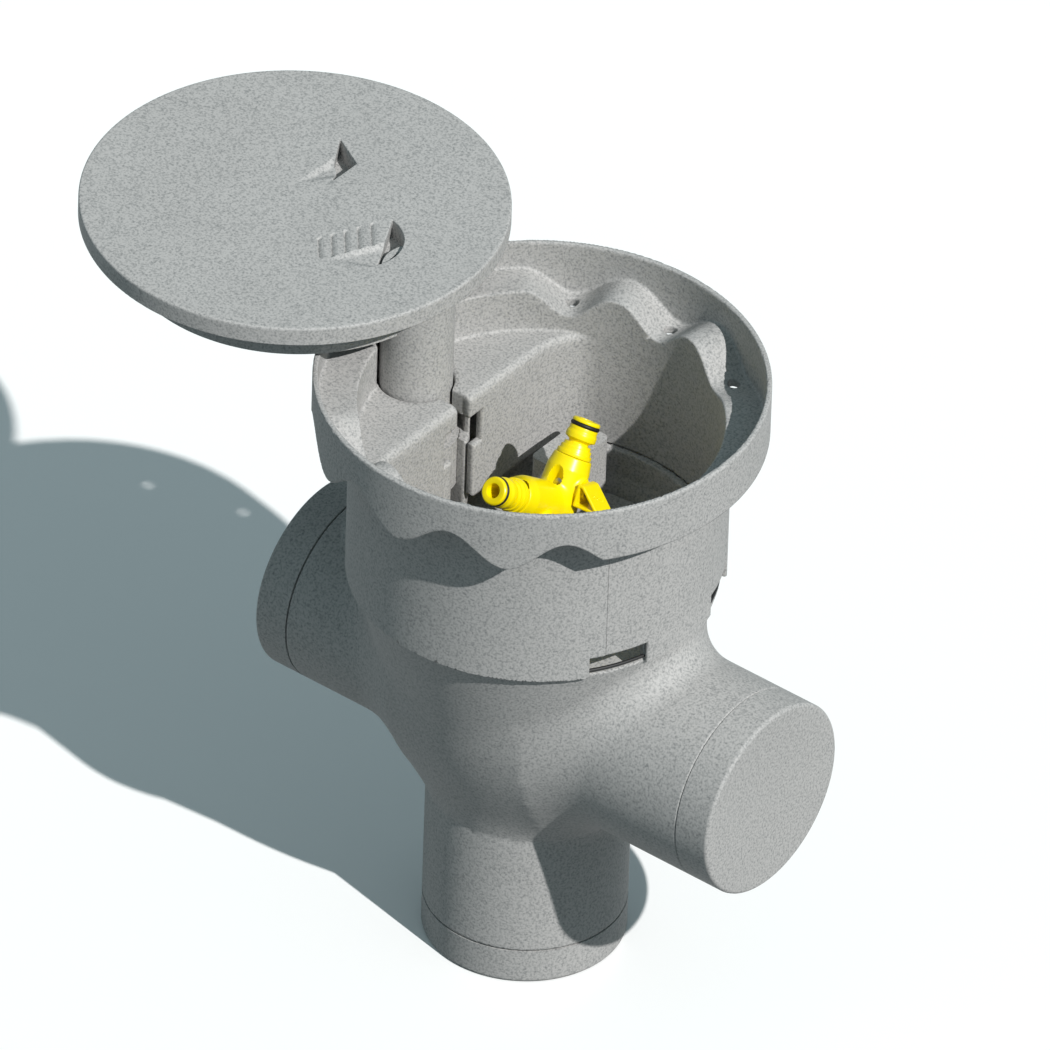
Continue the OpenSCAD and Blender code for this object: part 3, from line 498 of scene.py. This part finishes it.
def pocket_ribbed(u, v, z):
    """Edge, depth and hole of the ribbed grip pocket: its wall is an arc, with grooves beside the ramp."""
    edge = np.hypot(u - 46, v + 6) - 25.6
    lip = -beyond(u, v, (51.1, 18.2), (0.888, 0.46)) - undercut(z)
    along = beyond(u, v, (40, -31), (0.47, 0.883))
    across = beyond(u, v, (46.2, -31.3), (0.904, -0.427))
    return edge, most(scoop(along, across, 0.65, 28.0), grooves(along, across)), most(edge, lip)


def pocket_smooth(u, v, z):
    """Edge, depth and hole of the smooth grip pocket: its wall has two flat faces, and its lip three."""
    edge = most(u - 4.8, beyond(u, v, (4.3, 45.7), (0.487, 0.873)))
    bend, end = (-5.5, 39.7), (-0.1, 35.1)
    lip = least(-beyond(u, v, bend, (0.649, 0.761)), -beyond(u, v, end, (0.894, 0.447)))
    lip = most(lip, -beyond(u, v, bend, (0.864, 0.504))) - undercut(z)
    along = v - 10
    across = u + 7.6 - 0.05 * along
    return edge, scoop(along, across, 0.55, 24.0), most(edge, lip)


def lid_field(x, y, z):
    """The lid's cover: a shell with a round edge, two grip pockets and the spigot for the post."""
    radius, inner_r, ceiling, spigot_r = 114.5, 111.3, 393.3, 15.9
    u, v = x - LID_X, y
    r, rho = np.hypot(u, v), np.hypot(x - POST_X, y)
    ribbed, smooth, pad_r = (50, -2), (-6, 33), 25
    pads = rods(u, v, (*ribbed, pad_r), (*smooth, pad_r))
    bosses = rods(u, v, (50, -4, 30), (*smooth, 28))

    out = meet(meet(r - radius, z - LID_TOP, 1.0), LID_UNDER - z, 0.6)
    out = least(out, most(pads, band(384.35, z, 390)))
    out = most(out, -most(r - inner_r, z - ceiling, -bosses))
    out = most(out, -most(band(spigot_r, rho, 19.9), z - ceiling))
    out = least(out, most(rho - spigot_r, band(372.3, z, 394)))

    floor = np.where(rods(u, v, (*ribbed, 23.8), (*smooth, 23.8)) < 0, 385.3, 386.2)
    for edge, depth, hole in (pocket_ribbed(u, v, z), pocket_smooth(u, v, z)):
        depth = depth - 0.4 * (1 - np.clip(depth / 0.15, 0, 1))
        out = meet(out, -most(edge, (LID_TOP - depth - z) * 0.8), 0.4)
        out = meet(out, -most(hole, floor - z), 0.5)
    return out


# ---------------------------------------------------------------- coupling
def turned(x, y, z):
    """Turn by degrees about X, then Y, then Z."""
    return (Matrix.Rotation(math.radians(z), 4, "Z") @ Matrix.Rotation(math.radians(y), 4, "Y")
            @ Matrix.Rotation(math.radians(x), 4, "X"))


VERTEX = Matrix.Translation((LEG_X, 0, VERTEX_Z))
BRANCH_A = VERTEX @ turned(0, 38, 95)
BRANCH_B = VERTEX @ turned(0, 54, -94.2) @ turned(0, 0, -35)
SPINDLE_A = BRANCH_A @ Matrix.Translation((0, 0, 13)) @ Matrix.Rotation(math.pi, 4, Vector((1, 0, 1)))
SPINDLE_B = BRANCH_B @ Matrix.Translation((0, 0, 20)) @ turned(0, -90, 0)
LEVER_A = SPINDLE_A @ turned(0, 13.4, 0)
BRANCH_ENDS = ((BRANCH_A, 27.5), (BRANCH_B, 39.5))


def local(place, x, y, z):
    """The point (x, y, z) along place's own axes."""
    m = np.array(place.inverted())
    return [m[i, 0] * x + m[i, 1] * y + m[i, 2] * z + m[i, 3] for i in range(3)]


def branch_fields(place, end, x, y, z):
    """A branch that narrows towards its end, and the bore in it with a wider chamber."""
    bore_r, chamber_r, chamber_from, narrow_over = 4, 6.65, 17, 7
    a, b, s = local(place, x, y, z)
    d = np.hypot(a, b)
    radius = 11.8 - 1.5 * np.clip((s - end + narrow_over) / narrow_over, 0, 1)
    tube = meet(most(d - radius, -s), s - end, 0.6)
    return tube, least(d - bore_r, most(d - chamber_r, chamber_from - s))


def coupling_field(x, y, z):
    """The yellow Y-shaped body with its hexagon flange and spindle towers."""
    bore_r, flange_foot, flange_top, flange_half = 4, 228, 234, 15
    tower_r, tower_top, spindle_r, spindle_foot = 6, 12.6, 3.0, 6
    (tube_a, bore_a), (tube_b, bore_b) = [branch_fields(place, end, x, y, z) for place, end in BRANCH_ENDS]
    leg = np.hypot(x - LEG_X, y)
    out = most(leg - 11, band(flange_foot, z, VERTEX_Z))
    out = join(join(out, tube_a, 3), tube_b, 3)
    out = least(out, ball((x, y, z), (LEG_X, 0, VERTEX_Z), 11.6))
    for place in (SPINDLE_A, SPINDLE_B):
        a, b, c = local(place, x, y, z)
        out = join(out, meet(most(np.hypot(a, c) - tower_r, -b), b - tower_top, 0.5), 1.5)
        out = most(out, -most(np.hypot(a, c) - spindle_r, spindle_foot - b))
    flats = np.abs(x - LEG_X) * 0.866 + np.abs(y) * 0.5
    hexagon = most(flats, np.abs(y)) - flange_half
    out = join(out, meet(meet(hexagon, z - flange_top, 0.8), flange_foot - z, 0.8), 1)
    out = least(out, most(leg - 10.3, band(196, z, flange_foot + 1)))
    pit = ball(local(BRANCH_A, x, y, z), (-2.5, -11.9, 9.0), 1.0)
    return most(out, -bore_a, -bore_b, -(leg - bore_r), -pit)


def lever_field(x, y, z):
    """A lever in its spindle's frame: hub and hollow wedge with three dimples in its sloped plate."""
    foot, tip, face, half_width, wall = 12.8, 28.2, 4.5, 7.95, 1.6
    hub_r, hub_top, screw_r = 4.4, 15.4, 2.95
    slope = beyond(x, y, (face, 16.3), (0.7344, 0.6787))
    body = meet(most(foot - y, -8 - x), meet(x - face, slope, 0.7), 0.6)
    out = meet(body, meet(y - tip, np.abs(z) - half_width, 0.6), 0.6)
    out = meet(out, -most(14.4 - y, band(-6.4, x, 2.9), slope + wall, y - 26), 0.3)
    out = least(out, meet(most(np.hypot(x, z) - hub_r, foot - y), y - hub_top, 0.4))
    out = most(out, -most(np.hypot(x, z) - screw_r, y - 15.5))
    for k in (-3.2, 0.0, 3.2):
        out = most(out, -ball((x, y, z), (-1.6 - 0.35 * k, 22.4 + 0.38 * k, k), 0.75))
    return out


# ---------------------------------------------------------------- turned pieces
def rounded(profile, largest):
    """Points of a closed profile, with three in place of each corner that lies off the axis."""
    pts = []
    n = len(profile)
    for i in range(n):
        p, q, r = (Vector(profile[j % n]) for j in (i - 1, i, i + 1))
        cut = min(largest, (p - q).length * 0.4, (r - q).length * 0.4)
        a, b = q + (p - q).normalized() * cut, q + (r - q).normalized() * cut
        if q.x < 1e-6 or cut < 0.02:
            pts.append(q)
        else:
            pts += [a, (a + b + 2 * q) / 4, b]
    return pts


def lathe(name, profile, place, round_off=0.25, count=96):
    """Closed ring from a closed profile of (radius, height) points, turned about place's Z."""
    pts = rounded(profile, round_off)
    m = len(pts)
    bm = bmesh.new()
    rings = []
    for k in range(count):
        t = 2 * math.pi * k / count
        around = [Vector((p.x * math.cos(t), p.x * math.sin(t), p.y)) for p in pts]
        rings.append([bm.verts.new(place @ v * MM) for v in around])
    for k in range(count):
        here, there = rings[k], rings[(k + 1) % count]
        for i in range(m):
            j = (i + 1) % m
            bm.faces.new((here[i], there[i], there[j], here[j]))
    bmesh.ops.remove_doubles(bm, verts=bm.verts, dist=1e-7)
    bmesh.ops.recalc_face_normals(bm, faces=bm.faces)
    mesh = bpy.data.meshes.new(name)
    bm.to_mesh(mesh)
    bm.free()
    mesh.shade_smooth()
    mesh.set_sharp_from_angle(angle=math.radians(35))
    obj = bpy.data.objects.new(name, mesh)
    bpy.context.collection.objects.link(obj)
    return obj


def nipple_profile(length, ball_at):
    """Closed half section of a hose nipple, as radius and height along its branch."""
    ball_r, seat = 4.9, 2.5
    foot = length - ball_at - ball_r - seat
    from_tip = [(4, 0), (6.9, 0), (7.7, 0.8), (7.7, 2.05), (5.8, 2.05), (5.8, 4.35), (7.7, 4.35),
                (7.7, 6.4), (8.4, 8), (8.4, 10.7), (5.5, 12.3), (5.5, 13.5), (7.3, 13.5), (7.6, 15.5),
                (8.4, 15.5), (8.6, 18), (9.4, 18), (9.6, 20.3), (6.6, 20.3), (6.6, foot), (4, foot)]
    return [(r, length - t) for r, t in from_tip]


# ---------------------------------------------------------------- pieces
def replace(obj, node, body="housing"):
    """Let obj stand for the node of the CAD model, on the same body and in the same material."""
    obj.data.materials.append(MATS[SLOT[node]])
    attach(obj, body)
    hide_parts(node)


replace(solid_mesh("bowl", shell_field, (-124, -124, 219), (124, 124, 365), 1.0, merge=0.015), "upper_shell")
replace(solid_mesh("lid_top", lid_field, (-286, -117, 370), (-52, 117, 399), 0.75, merge=0.02),
        "lid_cover", "lid")
replace(solid_mesh("coupling_body", coupling_field, (-8, -42, 194), (28, 30, 310), 0.7), "valve_body")
replace(lathe("nipple_a_turned", nipple_profile(48, 13), BRANCH_A), "nipple_a")
replace(lathe("nipple_b_turned", nipple_profile(60, 20), BRANCH_B), "nipple_b")
for tag, place in (("a", LEVER_A), ("b", SPINDLE_B)):
    replace(solid_mesh("lever_" + tag + "_wedge", lever_field, (-9.5, 11.5, -9.5), (6.5, 30, 9.5), 0.45, place),
            "lever_" + tag, "shutoff_" + tag)
replace(solid_mesh("pipe_base", base_field, (-127, -100, 18), (144, 100, 255), 1.4, merge=0.015), "lower_body")

make_sky((0.72, 0.94, 1.0), 0.31)
make_sun(Vector((0.711, -0.145, 0.688)).normalized(), 3.75, math.radians(0.7), (1.0, 0.985, 0.965))
make_floor(6.0)
make_camera()
scene = bpy.context.scene
scene.view_settings.view_transform = "Standard"
scene.view_settings.look = "None"
